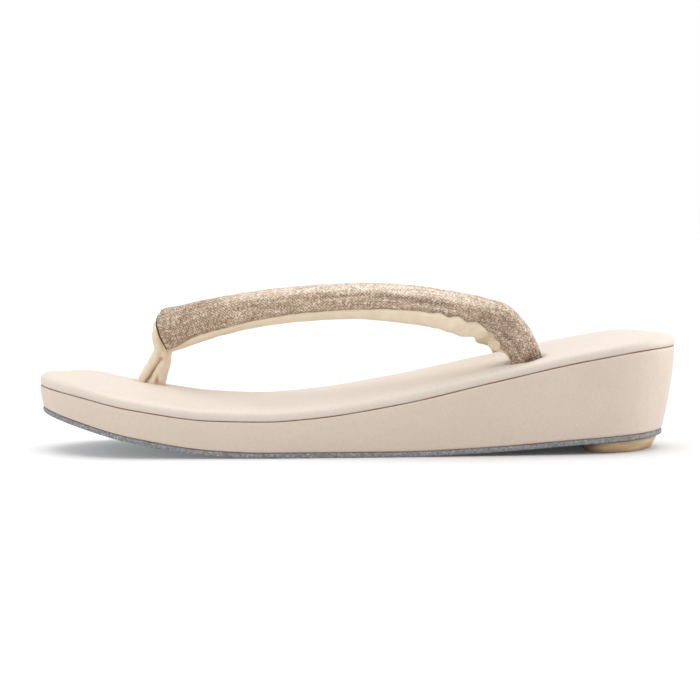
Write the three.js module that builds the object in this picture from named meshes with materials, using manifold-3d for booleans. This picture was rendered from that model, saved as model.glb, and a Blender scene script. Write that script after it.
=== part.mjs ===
// A woman's zori sandal: a leather-wrapped wedge platform with a padded footbed, a grey outsole,
// a heel lift, and a stuffed thong strap held by a soft toe post.
// Millimetres. +X points to the toe, +Y to the wearer's left, +Z up; the floor is z = 0.
import * as THREE from 'three';
import { mergeVertices } from 'three/addons/utils/BufferGeometryUtils.js';
import Module from 'manifold-3d';

const wasm = await Module();
wasm.setup();

// ---- driving sizes -------------------------------------------------------------------------
const LENGTH = 240;
const ROUND_LENGTH = 38; // length of the rounded toe and of the rounded heel
const ROUND_POWER = 1.9; // 2 would be an ellipse
const OUTLINE_STEPS = 40; // stations from toe to heel along one side
const GAP = 0.3; // air between two pieces that meet
const OUTSOLE_THICK = 1.8;
const PAD_RISE = 5.2; // rolled edge of the footbed above the seam
const BACK_LEAN = 4.6; // how far the heel end leans in, seam to floor
const HEEL_ZONE = 20; // the back lean fades in over this length
const LEAN_POWER = 1.6; // the lean grows toward the outsole
const TURN_STEP = 0.01; // radians between the two points that give the outline's direction
const TOE_LEAN = 1.0; // inward lean of the wall at the outsole, at the toe
const SIDE_LEAN = 2.4; // the same for the two sides

// Half width of the footbed; back is the share of the length behind the toe tip.
const WIDTHS = [
  { back: 0.00, half: 35.2 },
  { back: 0.12, half: 37.6 },
  { back: 0.34, half: 39.0 },
  { back: 0.62, half: 37.0 },
  { back: 0.88, half: 32.9 },
  { back: 1.00, half: 32.2 },
];

// Side profile: height of the seam under the footbed, and of the outsole's underside.
const PROFILE = [
  { back: 0.00, seam: 24.5, under: 15.0 },
  { back: 0.06, seam: 22.1, under: 11.1 },
  { back: 0.15, seam: 17.5, under: 5.6 },
  { back: 0.27, seam: 13.6, under: 0.9 },
  { back: 0.35, seam: 13.2, under: 0.0 },
  { back: 0.42, seam: 14.3, under: 0.0 },
  { back: 0.55, seam: 19.1, under: 0.0 },
  { back: 0.70, seam: 27.2, under: 1.4 },
  { back: 0.85, seam: 34.8, under: 3.9 },
  { back: 0.94, seam: 37.9, under: 5.0 },
  { back: 1.00, seam: 38.8, under: 5.4 },
];

// Rolled edge of the footbed, from the seam up and in: share of the rise, and distance inward.
const ROLL = [
  { rise: 0.00, inward: 0.5 },
  { rise: 0.28, inward: 0.0 },
  { rise: 0.62, inward: 1.1 },
  { rise: 0.88, inward: 3.6 },
  { rise: 1.00, inward: 8.0 },
];

// Extra height of the padded footbed along its middle line.
const DOME = [
  { back: 0.00, high: 3.4 },
  { back: 0.08, high: 3.3 },
  { back: 0.18, high: 3.4 },
  { back: 0.33, high: 2.3 },
  { back: 0.55, high: 2.5 },
  { back: 0.75, high: 2.0 },
  { back: 0.90, high: 2.2 },
  { back: 1.00, high: 1.6 },
];
const DOME_STEPS = [0.18, 0.4, 0.65, 0.9]; // shares of the way from the rolled edge to the middle line
const DOME_END = 26; // the middle line stops this far from toe and heel

const LIFT_FRONT = -84; // x of the heel lift's straight front edge
const LIFT_INSET = 1.6; // lift inside the outsole's own edge
const LIFT_TAPER = 2.4;
const LIFT_LEAST = 0.5; // least height of the lift before its front is cut

// One branch of the strap, nose to socket. side, up: centre line. tall: long axis of the oval,
// thick: short axis. lean: tilt of the long axis, top inward, in degrees. sag: how much lower the
// right branch hangs, as it is the softer one.
const BRANCH = [
  { x: 74.4, side: 3.9, up: 43.9, tall: 16.2, thick: 9.0, lean: 0, sag: 0 },
  { x: 66.0, side: 4.7, up: 46.4, tall: 15.6, thick: 9.4, lean: 3, sag: 0.4 },
  { x: 53.0, side: 10.0, up: 50.3, tall: 14.4, thick: 9.4, lean: 14, sag: 1.3 },
  { x: 36.0, side: 16.8, up: 53.7, tall: 13.6, thick: 9.4, lean: 23, sag: 1.9 },
  { x: 16.0, side: 22.8, up: 55.9, tall: 13.3, thick: 9.4, lean: 27, sag: 2.4 },
  { x: -4.0, side: 27.0, up: 56.5, tall: 13.7, thick: 9.6, lean: 27, sag: 2.6 },
  { x: -22.0, side: 29.3, up: 54.7, tall: 14.6, thick: 9.8, lean: 25, sag: 2.3 },
  { x: -36.0, side: 29.9, up: 51.9, tall: 15.2, thick: 10.0, lean: 20, sag: 1.2 },
  { x: -43.4, side: 29.7, up: 50.4, tall: 14.6, thick: 10.2, lean: 15, sag: 0.5 },
  { x: -49.6, side: 28.7, up: 48.8, tall: 13.9, thick: 10.2, lean: 10, sag: 0.1 },
  { x: -54.6, side: 27.4, up: 44.7, tall: 12.5, thick: 9.8, lean: 6, sag: 0 },
  { x: -57.5, side: 26.2, up: 40.7, tall: 11.8, thick: 9.2, lean: 3, sag: 0 },
  { x: -59.2, side: 25.4, up: 36.8, tall: 11.9, thick: 8.8, lean: 0, sag: 0 },
  { x: -60.1, side: 25.0, up: 32.4, tall: 12.2, thick: 8.4, lean: 0, sag: 0 },
  { x: -60.8, side: 25.0, up: 27.2, tall: 12.0, thick: 8.0, lean: 0, sag: 0 },
];
const BRANCH_STEPS = 40;
const BRANCH_POINTS = 20;
const OVAL_POWER = 0.88; // below 1 the oval is fuller than an ellipse
const NOSE_ROUND = 1.6; // depth of the rounded nose end
const NOSE_RINGS = [ // share of that depth, and size of the oval there
  { ahead: 1, size: 0.72 },
  { ahead: 0.45, size: 0.93 },
];

// The toe post is a folded band: a front and a rear lobe that part below the nose.
// x, up: centre. deep: size along x. wide: size across.
const FRONT_LOBE = [
  { x: 83.3, up: 16.5, deep: 3.6, wide: 6.0 },
  { x: 81.9, up: 25.5, deep: 4.4, wide: 6.8 },
  { x: 78.5, up: 31.5, deep: 4.6, wide: 6.6 },
  { x: 75.7, up: 36.5, deep: 4.8, wide: 6.4 },
  { x: 74.1, up: 41.5, deep: 4.2, wide: 6.0 },
];
const REAR_LOBE = [
  { x: 79.4, up: 16.5, deep: 6.0, wide: 5.6 },
  { x: 77.0, up: 25.0, deep: 7.6, wide: 7.0 },
  { x: 75.0, up: 30.0, deep: 6.6, wide: 6.8 },
  { x: 73.2, up: 35.5, deep: 5.0, wide: 6.6 },
  { x: 72.4, up: 40.5, deep: 4.2, wide: 6.0 },
];
// The band's end is folded up over the front of the nose as a thin lip.
const LIP = [
  { x: 74.8, up: 36.5, deep: 4.6, wide: 6.6 },
  { x: 75.6, up: 41.0, deep: 4.6, wide: 7.4 },
  { x: 76.2, up: 45.0, deep: 3.6, wide: 7.0 },
  { x: 76.0, up: 48.5, deep: 2.6, wide: 5.0 },
];
const LOBE_STEPS = 10;
const LOBE_POINTS = 16;

// ---- curves --------------------------------------------------------------------------------
// Smooth value of a table's column at a key, without overshoot between rows.
function lookUp(table, key, column, at) {
  const last = table.length - 1;
  const slopes = [];
  for (let i = 0; i < last; i += 1) {
    slopes.push((table[i + 1][column] - table[i][column]) / (table[i + 1][key] - table[i][key]));
  }
  const tangent = (i) => {
    if (i === 0) return slopes[0];
    if (i === last) return slopes[last - 1];
    const before = slopes[i - 1];
    const after = slopes[i];
    return before * after <= 0 ? 0 : (2 * before * after) / (before + after);
  };
  const clamped = THREE.MathUtils.clamp(at, table[0][key], table[last][key]);
  let i = 0;
  while (i < last - 1 && clamped > table[i + 1][key]) i += 1;
  const step = table[i + 1][key] - table[i][key];
  const s = (clamped - table[i][key]) / step;
  const rise = s * s * (3 - 2 * s);
  const mix = table[i][column] * (1 - rise) + table[i + 1][column] * rise;
  return mix + step * (tangent(i) * s * (1 - s) ** 2 - tangent(i + 1) * s * s * (1 - s));
}

const backShare = (x) => (LENGTH / 2 - x) / LENGTH;
const seamAt = (x) => lookUp(PROFILE, 'back', 'seam', backShare(x));
const underAt = (x) => lookUp(PROFILE, 'back', 'under', backShare(x));

function roundedEnd(distance) {
  const share = Math.min(distance / ROUND_LENGTH, 1);
  return (1 - (1 - share) ** ROUND_POWER) ** (1 / ROUND_POWER);
}

// Point of the footbed's outline; turn runs from 0 at the toe over pi at the heel to 2 pi.
function outlinePoint(turn) {
  const x = (LENGTH / 2) * Math.cos(turn);
  const half = lookUp(WIDTHS, 'back', 'half', backShare(x));
  const ends = roundedEnd(LENGTH / 2 - x) * roundedEnd(LENGTH / 2 + x);
  return new THREE.Vector2(x, Math.sign(Math.sin(turn)) * half * ends);
}

// The outline moved inward by a distance that may differ from place to place.
function outline(inward) {
  const count = 2 * OUTLINE_STEPS;
  const points = [];
  for (let i = 0; i < count; i += 1) {
    const turn = (Math.PI * i) / OUTLINE_STEPS;
    const point = outlinePoint(turn);
    const ahead = outlinePoint(turn + TURN_STEP);
    const behind = outlinePoint(turn - TURN_STEP);
    const along = ahead.sub(behind).normalize();
    const distance = inward(point.x);
    points.push(new THREE.Vector2(point.x - along.y * distance, point.y + along.x * distance));
  }
  points[0].y = 0;
  points[OUTLINE_STEPS].y = 0;
  return points;
}

// Inward lean of the side wall at a share of the way down from the seam.
function leanAt(down) {
  return (x) => {
    const heel = THREE.MathUtils.smoothstep(-x, LENGTH / 2 - HEEL_ZONE, LENGTH / 2);
    const sides = THREE.MathUtils.mapLinear(x, LENGTH / 2, -LENGTH / 2, TOE_LEAN, SIDE_LEAN);
    return (sides + heel * (BACK_LEAN - SIDE_LEAN)) * down ** LEAN_POWER;
  };
}

// ---- solids --------------------------------------------------------------------------------
// Skin over rings of equal count; each end is closed by rungs across or by a fan.
function skin(rings, rungs) {
  const count = rings[0].length;
  const positions = rings.flat().flatMap((point) => point.toArray());
  const index = [];
  for (let r = 0; r < rings.length - 1; r += 1) {
    for (let i = 0; i < count; i += 1) {
      const a = r * count + i;
      const b = r * count + ((i + 1) % count);
      index.push(a, b, b + count, a, b + count, a + count);
    }
  }
  const ends = [{ base: 0, up: false }, { base: (rings.length - 1) * count, up: true }];
  for (const { base, up } of ends) {
    const add = (a, b, c) => (up ? index.push(a, b, c) : index.push(a, c, b));
    if (rungs) {
      for (let i = 0; i < count / 2; i += 1) {
        const far = base + ((count - i) % count);
        add(base + i, base + i + 1, base + count - i - 1);
        if (i > 0) add(base + i, base + count - i - 1, far);
      }
    } else {
      const middle = new THREE.Vector3();
      rings[up ? rings.length - 1 : 0].forEach((point) => middle.addScaledVector(point, 1 / count));
      const hub = positions.length / 3;
      positions.push(...middle.toArray());
      for (let i = 0; i < count; i += 1) add(base + i, base + ((i + 1) % count), hub);
    }
  }
  return toManifold(positions, index);
}

function toManifold(positions, index) {
  let geometry = new THREE.BufferGeometry();
  geometry.setAttribute('position', new THREE.Float32BufferAttribute(positions, 3));
  geometry.setIndex(index);
  geometry = mergeVertices(geometry, 1e-5);
  const mesh = new wasm.Mesh({
    numProp: 3,
    vertProperties: Float32Array.from(geometry.attributes.position.array),
    triVerts: Uint32Array.from(geometry.index.array),
  });
  return new wasm.Manifold(mesh);
}

function toMesh(name, manifold, material) {
  const { vertProperties, triVerts } = manifold.getMesh();
  const geometry = new THREE.BufferGeometry();
  geometry.setAttribute('position', new THREE.BufferAttribute(vertProperties, 3));
  geometry.setIndex(new THREE.BufferAttribute(triVerts, 1));
  geometry.computeVertexNormals();
  const mesh = new THREE.Mesh(geometry, material);
  mesh.name = name;
  return mesh;
}

const level = (points, height) => points.map(({ x, y }) => new THREE.Vector3(x, y, height(x)));

function makeOutsole() {
  const edge = outline(leanAt(1));
  return skin([level(edge, underAt), level(edge, (x) => underAt(x) + OUTSOLE_THICK)], true);
}

function makePlatform() {
  const floor = (x) => underAt(x) + OUTSOLE_THICK + GAP;
  const rings = [1, 0.75, 0.5, 0.25, 0].map((down) => level(
    outline(leanAt(down)),
    (x) => THREE.MathUtils.lerp(seamAt(x), floor(x), down),
  ));
  return skin(rings, true);
}

function makeFootbed() {
  const rings = ROLL.map(({ rise, inward }) => level(
    outline(() => inward),
    (x) => seamAt(x) + GAP + rise * (PAD_RISE - GAP),
  ));
  const edge = rings.at(-1);
  const reach = LENGTH / 2 - DOME_END;
  DOME_STEPS.forEach((share) => rings.push(edge.map((point) => {
    const x = THREE.MathUtils.lerp(point.x, THREE.MathUtils.clamp(point.x, -reach, reach), share);
    const high = lookUp(DOME, 'back', 'high', backShare(x)) * (1 - (1 - share) ** 2);
    return new THREE.Vector3(x, point.y * (1 - share), seamAt(x) + PAD_RISE + high);
  })));
  return skin(rings, true);
}

// The heel lift follows the outsole's edge and is cut straight across at its front.
function makeHeelLift() {
  const inset = (extra) => (x) => leanAt(1)(x) + LIFT_INSET + extra;
  const bottom = level(outline(inset(LIFT_TAPER)), () => 0);
  const top = level(outline(inset(0)), (x) => underAt(x) - GAP);
  const block = new THREE.BoxGeometry(LENGTH, LENGTH, LENGTH);
  block.translate(LIFT_FRONT - LENGTH / 2, 0, 0);
  block.deleteAttribute('normal');
  block.deleteAttribute('uv');
  const merged = mergeVertices(block);
  const behind = toManifold([...merged.attributes.position.array], [...merged.index.array]);
  const raised = top.map((point) => point.setZ(Math.max(point.z, LIFT_LEAST)));
  return skin([bottom, raised], true).intersect(behind);
}

// One branch of the strap; grow makes it larger all round, for the room it needs.
function makeBranch(side, grow) {
  const path = new THREE.CatmullRomCurve3(
    BRANCH.map(({ x, side: y, up, sag }) => new THREE.Vector3(x, y, side > 0 ? up : up - sag)),
    false,
    'centripetal',
  );
  const rows = BRANCH.map((row, i) => ({ ...row, at: i }));
  const ring = (share, ahead, scale) => {
    const at = share * (BRANCH.length - 1);
    const centre = path.getPoint(share);
    const along = path.getTangent(share);
    const upright = new THREE.Vector3(0, 0, 1).addScaledVector(along, -along.z).normalize();
    const outward = new THREE.Vector3().crossVectors(along, upright);
    const lean = THREE.MathUtils.degToRad(lookUp(rows, 'at', 'lean', at));
    const high = upright.clone().multiplyScalar(Math.cos(lean)).addScaledVector(outward, -Math.sin(lean));
    const out = outward.clone().multiplyScalar(Math.cos(lean)).addScaledVector(upright, Math.sin(lean));
    const tall = (lookUp(rows, 'at', 'tall', at) / 2) * scale + grow;
    const thick = (lookUp(rows, 'at', 'thick', at) / 2) * scale + grow;
    const points = [];
    for (let i = 0; i < BRANCH_POINTS; i += 1) {
      const turn = (2 * Math.PI * i) / BRANCH_POINTS;
      const up = Math.sign(Math.cos(turn)) * Math.abs(Math.cos(turn)) ** OVAL_POWER * tall;
      const over = Math.sign(Math.sin(turn)) * Math.abs(Math.sin(turn)) ** OVAL_POWER * thick;
      const point = centre.clone().addScaledVector(along, ahead);
      point.addScaledVector(high, up).addScaledVector(out, over);
      points.push(point);
    }
    return points;
  };
  const rings = NOSE_RINGS.map(({ ahead, size }) => ring(0, -NOSE_ROUND * ahead - grow, size));
  for (let i = 0; i <= BRANCH_STEPS; i += 1) rings.push(ring(i / BRANCH_STEPS, 0, 1));
  if (grow > 0) rings.push(ring(1, grow, 1));
  const branch = skin(rings, false);
  return side > 0 ? branch : branch.mirror([0, 1, 0]);
}

const makeStrap = (grow) => makeBranch(1, grow).add(makeBranch(-1, grow));

// A soft lobe of the toe post from a table of level ovals.
function makeLobe(table, grow) {
  const rings = [];
  const last = table.length - 1;
  for (let i = 0; i <= LOBE_STEPS; i += 1) {
    const share = i / LOBE_STEPS;
    const end = share === 0 ? -grow : 0;
    const up = THREE.MathUtils.lerp(table[0].up, table[last].up, share);
    const x = lookUp(table, 'up', 'x', up);
    const deep = lookUp(table, 'up', 'deep', up) / 2 + grow;
    const wide = lookUp(table, 'up', 'wide', up) / 2 + grow;
    const points = [];
    for (let k = 0; k < LOBE_POINTS; k += 1) {
      const turn = (2 * Math.PI * k) / LOBE_POINTS;
      points.push(new THREE.Vector3(x + deep * Math.cos(turn), wide * Math.sin(turn), up + end));
    }
    rings.push(points);
  }
  return skin(rings, false);
}

const makePost = (grow) => makeLobe(FRONT_LOBE, grow).add(makeLobe(REAR_LOBE, grow));

// ---- assembly ------------------------------------------------------------------------------
const leather = { roughness: 0.55, metalness: 0 };
const materials = {
  outsole: new THREE.MeshStandardMaterial({ color: 0x85878a, roughness: 0.85, metalness: 0 }),
  lift: new THREE.MeshStandardMaterial({ color: 0xa58d62, roughness: 0.7, metalness: 0 }),
  wrap: new THREE.MeshStandardMaterial({ color: 0xd9c9b9, ...leather }),
  pad: new THREE.MeshStandardMaterial({ color: 0xf4ebe0, ...leather }),
  cloth: new THREE.MeshStandardMaterial({ color: 0xb5a393, roughness: 0.6, metalness: 0.1 }),
  lining: new THREE.MeshStandardMaterial({ color: 0xe9dfc4, roughness: 0.9, metalness: 0 }),
};

const room = makeStrap(GAP).add(makePost(GAP));
const post = makePost(0).add(makeLobe(LIP, 0)).subtract(makeStrap(GAP));

const group = new THREE.Group();
group.add(toMesh('outsole', makeOutsole(), materials.outsole));
group.add(toMesh('heel_lift', makeHeelLift(), materials.lift));
group.add(toMesh('platform', makePlatform().subtract(room), materials.wrap));
group.add(toMesh('footbed', makeFootbed().subtract(room), materials.pad));
group.add(toMesh('strap', makeStrap(0), materials.cloth));
group.add(toMesh('toe_post', post, materials.lining));

export default group;
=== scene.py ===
"""A woman's zori sandal: wrapped platform, padded footbed, stuffed strap and soft toe post.

Laid out as a Blender add-on and run as a script. Every object is in metres in the frame of the
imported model: +X points to the toe, +Y to the wearer's left, +Z up, and the floor is z = 0.
"""

import math

import bpy
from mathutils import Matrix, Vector, noise


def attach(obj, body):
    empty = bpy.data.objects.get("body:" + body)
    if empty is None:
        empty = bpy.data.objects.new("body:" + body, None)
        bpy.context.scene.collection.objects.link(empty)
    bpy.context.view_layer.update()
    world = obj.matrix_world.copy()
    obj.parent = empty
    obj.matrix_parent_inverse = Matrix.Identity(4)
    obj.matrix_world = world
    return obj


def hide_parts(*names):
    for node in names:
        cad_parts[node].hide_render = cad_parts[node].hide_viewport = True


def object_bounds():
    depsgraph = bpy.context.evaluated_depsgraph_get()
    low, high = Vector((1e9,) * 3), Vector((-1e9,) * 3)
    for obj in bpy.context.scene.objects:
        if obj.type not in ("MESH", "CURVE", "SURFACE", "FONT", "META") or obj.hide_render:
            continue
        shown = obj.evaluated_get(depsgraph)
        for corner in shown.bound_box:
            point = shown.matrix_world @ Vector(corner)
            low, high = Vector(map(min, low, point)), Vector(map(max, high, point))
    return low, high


bl_info = {
    "name": "Zori Sandal",
    "version": (1, 0, 0),
    "blender": (4, 5, 0),
    "location": "3D View > Sidebar > Zori",
    "description": "Builds a zori sandal with a stuffed strap on a leather-wrapped platform",
    "category": "Object",
}

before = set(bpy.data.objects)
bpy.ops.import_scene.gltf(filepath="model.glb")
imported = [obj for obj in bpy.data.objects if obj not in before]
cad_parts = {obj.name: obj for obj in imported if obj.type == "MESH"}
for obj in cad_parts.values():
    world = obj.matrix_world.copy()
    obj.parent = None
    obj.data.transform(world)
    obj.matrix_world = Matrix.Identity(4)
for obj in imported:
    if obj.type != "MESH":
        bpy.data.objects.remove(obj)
CAD_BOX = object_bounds()
ROOT = "root"
MM = 0.001

# ---- tables: the maker's sections, in millimetres and degrees ----


def table_of(columns, *rows):
    """Rows of numbers under named columns."""
    return [dict(zip(columns.split(), row)) for row in rows]


LENGTH = (CAD_BOX[1].x - CAD_BOX[0].x) / MM
ROUND_LENGTH = 38.0  # length of the rounded toe and of the rounded heel
ROUND_POWER = 1.9
GAP = 0.3  # air between two pieces that meet
BACK_LEAN = 4.6  # how far the heel end of the side wall leans in, seam to floor
SIDE_LEAN = 2.4
TOE_LEAN = 1.0
HEEL_ZONE = 20  # the lean of the heel end fades in over this length
LEAN_POWER = 1.6
TURN_STEP = 0.01  # turn each way when the outline's direction is measured

# Half width of the footbed; back is the share of the length behind the toe tip.
WIDTHS = table_of(
    "back half",
    (0.00, 35.2),
    (0.12, 37.6),
    (0.34, 39.0),
    (0.62, 37.0),
    (0.88, 32.9),
    (1.00, 32.2),
)

# Height of the seam under the footbed, and of the outsole's underside.
PROFILE = table_of(
    "back seam under",
    (0.00, 24.5, 15.0),
    (0.06, 22.1, 11.1),
    (0.15, 17.5, 5.6),
    (0.27, 13.6, 0.9),
    (0.35, 13.2, 0.0),
    (0.42, 14.3, 0.0),
    (0.55, 19.1, 0.0),
    (0.70, 27.2, 1.4),
    (0.85, 34.8, 3.9),
    (0.94, 37.9, 5.0),
    (1.00, 38.8, 5.4),
)

# Rolled edge of the footbed from the seam up: share of the rise, and distance inward.
ROLL = table_of(
    "rise inward",
    (0.00, 0.45),
    (0.04, 0.14),
    (0.12, 0.02),
    (0.30, 0.00),
    (0.48, 0.20),
    (0.64, 0.80),
    (0.77, 1.70),
    (0.87, 3.00),
    (0.94, 4.70),
    (0.98, 6.40),
    (1.00, 8.00),
)

# Extra height of the padded footbed along its middle line.
DOME = table_of(
    "back high",
    (0.00, 3.4),
    (0.08, 3.3),
    (0.18, 3.4),
    (0.33, 2.3),
    (0.55, 2.5),
    (0.75, 2.0),
    (0.90, 2.2),
    (1.00, 1.6),
)
DOME_END = 26.0  # the middle line stops this far from toe and heel

# Side wall of the wrap from the seam down: share of the height, and how far it is tucked in.
WALL = table_of(
    "down tuck",
    (0.000, 2.6),
    (0.001, 0.40),
    (0.010, 0.12),
    (0.025, 0.02),
    (0.050, 0.00),
    (0.945, 0.00),
    (0.980, 0.03),
    (0.994, 0.14),
    (0.999, 0.40),
    (1.000, 2.6),
)
WALL_STEPS = 26

# One branch of the strap, nose to socket. side, up: centre line. tall: long axis of the oval,
# thick: short axis. lean: tilt of the long axis, top inward. sag: how much lower the right
# branch hangs, as it is the softer one.
BRANCH = table_of(
    "x side up tall thick lean sag",
    (74.4, 3.9, 43.9, 16.2, 9.0, 0, 0),
    (66.0, 4.7, 46.4, 15.6, 9.4, 3, 0.4),
    (53.0, 10.0, 50.3, 14.4, 9.4, 14, 1.3),
    (36.0, 16.8, 53.7, 13.6, 9.4, 23, 1.9),
    (16.0, 22.8, 55.9, 13.3, 9.4, 27, 2.4),
    (-4.0, 27.0, 56.5, 13.7, 9.6, 27, 2.6),
    (-22.0, 29.3, 54.7, 14.6, 9.8, 25, 2.3),
    (-36.0, 29.9, 51.9, 15.2, 10.0, 20, 1.2),
    (-43.4, 29.7, 50.4, 14.6, 10.2, 15, 0.5),
    (-49.6, 28.7, 48.8, 13.9, 10.2, 10, 0.1),
    (-54.6, 27.4, 44.7, 12.5, 9.8, 6, 0),
    (-57.5, 26.2, 40.7, 11.8, 9.2, 3, 0),
    (-59.2, 25.4, 36.8, 11.9, 8.8, 0, 0),
    (-60.1, 25.0, 32.4, 12.2, 8.4, 0, 0),
    (-60.8, 25.0, 27.2, 12.0, 8.0, 0, 0),
)
OVAL_POWER = 0.88
NOSE_ROUND = 1.1

# The nose end, cut back by `back` at a height from the strap's centre line; fades out behind it.
NOSE_CUT = table_of(
    "up back",
    (-8.2, 1.3),
    (-4.5, 0.5),
    (0.0, 0.0),
    (3.6, 0.1),
    (6.2, 0.9),
    (8.2, 3.0),
)

# Where cloth meets lining round the oval, by millimetres from the nose: 0 is its top, 90 its
# outer face, 180 its bottom.
CLOTH_EDGES = table_of(
    "at outer inner",
    (0, 152, -8),
    (12, 138, -16),
    (28, 149, -26),
    (54, 144, -36),
    (79, 138, -42),
    (88, 131, -44),
    (97, 124, -46),
    (106, 118, -48),
    (115, 115, -50),
    (121, 118, -50),
    (124, 124, -50),
    (126, 142, -50),
    (129, 160, -52),
    (133, 172, -54),
    (139, 184, -58),
    (156, 196, -62),
)

# Soft troughs (depth above zero) and ridges (below zero) of the strap. at: mm from the nose.
# turn: degrees round the oval. along, across: half sizes in mm. slant: mm that the trough
# climbs round the oval for each mm along it.
# Troughs also set painted shade on the cloth and lining: the deeper, the darker.
STRAP_FOLDS = table_of(
    "at turn along across slant depth",
    (74, 92, 40, 1.1, 0.00, 0.20),
    (93, 92, 27, 0.6, 0.00, 0.60),
    (80, 100, 22, 0.7, 0.00, 0.16),
    (104, 96, 15, 1.4, -0.08, 0.36),
    (42, 98, 22, 2.2, 0.03, 0.20),
    (16, 114, 13, 2.6, 0.05, 0.28),
    (125, 108, 8, 1.8, -0.25, 0.60),
    (134, 136, 2.0, 5.0, 0.00, 0.60),
    (117, 178, 5.0, 6.0, 0.00, -0.75),
    (127, 172, 1.6, 7.0, 0.00, 0.90),
    (136, 226, 5.5, 4.4, 0.00, -4.20),
    (131, 236, 1.1, 4.0, 0.20, 0.80),
    (151, 0, 5.0, 4.0, 0.00, -1.50),
    (151, 178, 2.6, 4.5, 0.00, -1.50),
    (151, 96, 3.6, 1.5, 0.08, 3.00),
    (151, 34, 4.0, 0.9, -0.05, 1.80),
    (150, 120, 4.0, 0.8, 0.10, 0.60),
    (150, 68, 3.0, 0.7, 0.00, 0.50),
    (150, 150, 4.0, 0.9, 0.00, 0.50),
    (149, 8, 4.5, 0.8, 0.00, 0.70),
    (149, -30, 5.0, 0.9, 0.00, 0.80),
    (148, 228, 4.0, 0.9, 0.00, 0.80),
    (148, 262, 5.0, 0.8, 0.00, 0.70),
)

# The toe post is a folded band: two lobes that part below the nose, and the lip over its front.
# x, up: centre. deep: size along x. wide: size across.
POST_LOBES = {
    "front": table_of(
        "x up deep wide",
        (83.3, 16.5, 3.6, 6.0),
        (81.9, 25.5, 4.4, 6.8),
        (78.5, 31.5, 4.6, 6.6),
        (75.7, 36.5, 4.8, 6.4),
        (74.1, 41.5, 4.2, 6.0),
    ),
    "rear": table_of(
        "x up deep wide",
        (79.4, 16.5, 6.0, 5.6),
        (77.0, 25.0, 7.6, 7.0),
        (75.0, 30.0, 6.6, 6.8),
        (73.2, 35.5, 5.0, 6.6),
        (72.4, 40.5, 4.2, 6.0),
    ),
    "lip": table_of(
        "x up deep wide",
        (74.8, 36.5, 4.6, 6.6),
        (75.6, 41.0, 4.6, 7.4),
        (76.2, 45.0, 3.6, 7.0),
        (76.0, 48.5, 2.6, 5.0),
    ),
}

# The crease between the post's lobes, on both sides, and two pits beside it.
POST_CREASE = table_of(
    "up x",
    (22.0, 82.6),
    (25.2, 80.6),
    (28.0, 78.7),
    (31.5, 76.4),
    (34.1, 74.7),
    (36.0, 73.6),
)
POST_PITS = table_of(
    "x up long tall depth",
    (74.7, 34.0, 0.9, 0.8, 0.9),
    (76.2, 25.6, 0.7, 1.8, 1.0),
)

# What goes through the footbed and leaves a press mark: middle and half sizes.
HOLES = table_of(
    "x y long wide",
    (-59.9, 25.1, 6.9, 4.9),
    (-59.9, -25.1, 6.9, 4.9),
    (78.9, 0.0, 6.1, 3.9),
)


# ---- what a user would change ----


def number_prop(name, description, default, **more):
    settings = {"name": name, "description": description, "default": default, "min": 0.0, **more}
    return bpy.props.FloatProperty(**settings)


def length_prop(name, description, default):
    return number_prop(name, description, default, subtype="DISTANCE", unit="LENGTH", precision=5)


def power_prop(name, description, default):
    return number_prop(name, description, default, subtype="POWER", unit="POWER")


def angle_prop(name, description, degrees):
    angle = math.radians(degrees)
    return number_prop(name, description, angle, min=-math.pi, subtype="ANGLE", unit="ROTATION")


def colour_prop(name, description, default):
    return bpy.props.FloatVectorProperty(
        name=name, description=description, default=default, min=0.0, max=1.0,
        size=3, subtype="COLOR",
    )


class ZoriSizes(bpy.types.PropertyGroup):
    outsole_thickness: length_prop("Outsole", "Thickness of the outsole sheet", 0.0018)
    pad_rise: length_prop("Pad rise", "Height of the rolled edge above its seam", 0.0052)
    press_mark: length_prop("Press mark", "How deep the strap pulls the footbed down", 0.0006)
    seam_groove: length_prop("Seam groove", "Depth of the groove at the strap's lining", 0.0005)
    cloth_edge: length_prop("Cloth edge", "How far the folded cloth edge stands proud", 0.00028)
    cloth_wave: length_prop("Cloth wave", "Soft unevenness of the stuffed strap", 0.00022)
    edge_line: length_prop("Edge line", "Height of the raw leather line in the seam", 0.0004)
    post_voxel: length_prop("Post detail", "Cell size when the post's lobes are fused", 0.00034)


class ZoriColours(bpy.types.PropertyGroup):
    wrap: colour_prop("Wrap", "Leather round the platform", (0.580, 0.486, 0.406))
    # The pad is the wrap's leather; its paler, greyer colour is painted highlight for the lit top of the
    # footbed.
    pad: colour_prop("Pad", "Leather of the footbed", (0.590, 0.517, 0.450))
    raw_edge: colour_prop("Raw edge", "Cut leather that shows in the seams", (0.245, 0.112, 0.052))
    # Cloth shade is also the painted shade in the strap's folds.
    cloth_dark: colour_prop("Cloth shade", "Darkest threads of the strap", (0.125, 0.074, 0.045))
    cloth_mid: colour_prop("Cloth", "Most threads of the strap", (0.345, 0.242, 0.160))
    # Cloth light is also the painted highlight along the strap's top.
    cloth_light: colour_prop("Cloth light", "Palest threads of the strap", (0.700, 0.600, 0.495))
    lining: colour_prop("Lining", "Cotton lining and toe post", (0.700, 0.585, 0.435))
    # Painted shade colour for the depth of the cotton's folds and the post's crease.
    fold_shade: colour_prop("Fold shade", "Cotton deep in a fold", (0.420, 0.210, 0.095))
    outsole: colour_prop("Outsole", "Rubber of the outsole", (0.190, 0.198, 0.212))
    fleck: colour_prop("Fleck", "Pale flecks in the outsole", (0.560, 0.575, 0.600))
    lift: colour_prop("Heel lift", "Tan rubber of the heel lift", (0.470, 0.325, 0.178))
    floor: colour_prop("Floor", "Studio floor", (0.640, 0.640, 0.640))


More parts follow.
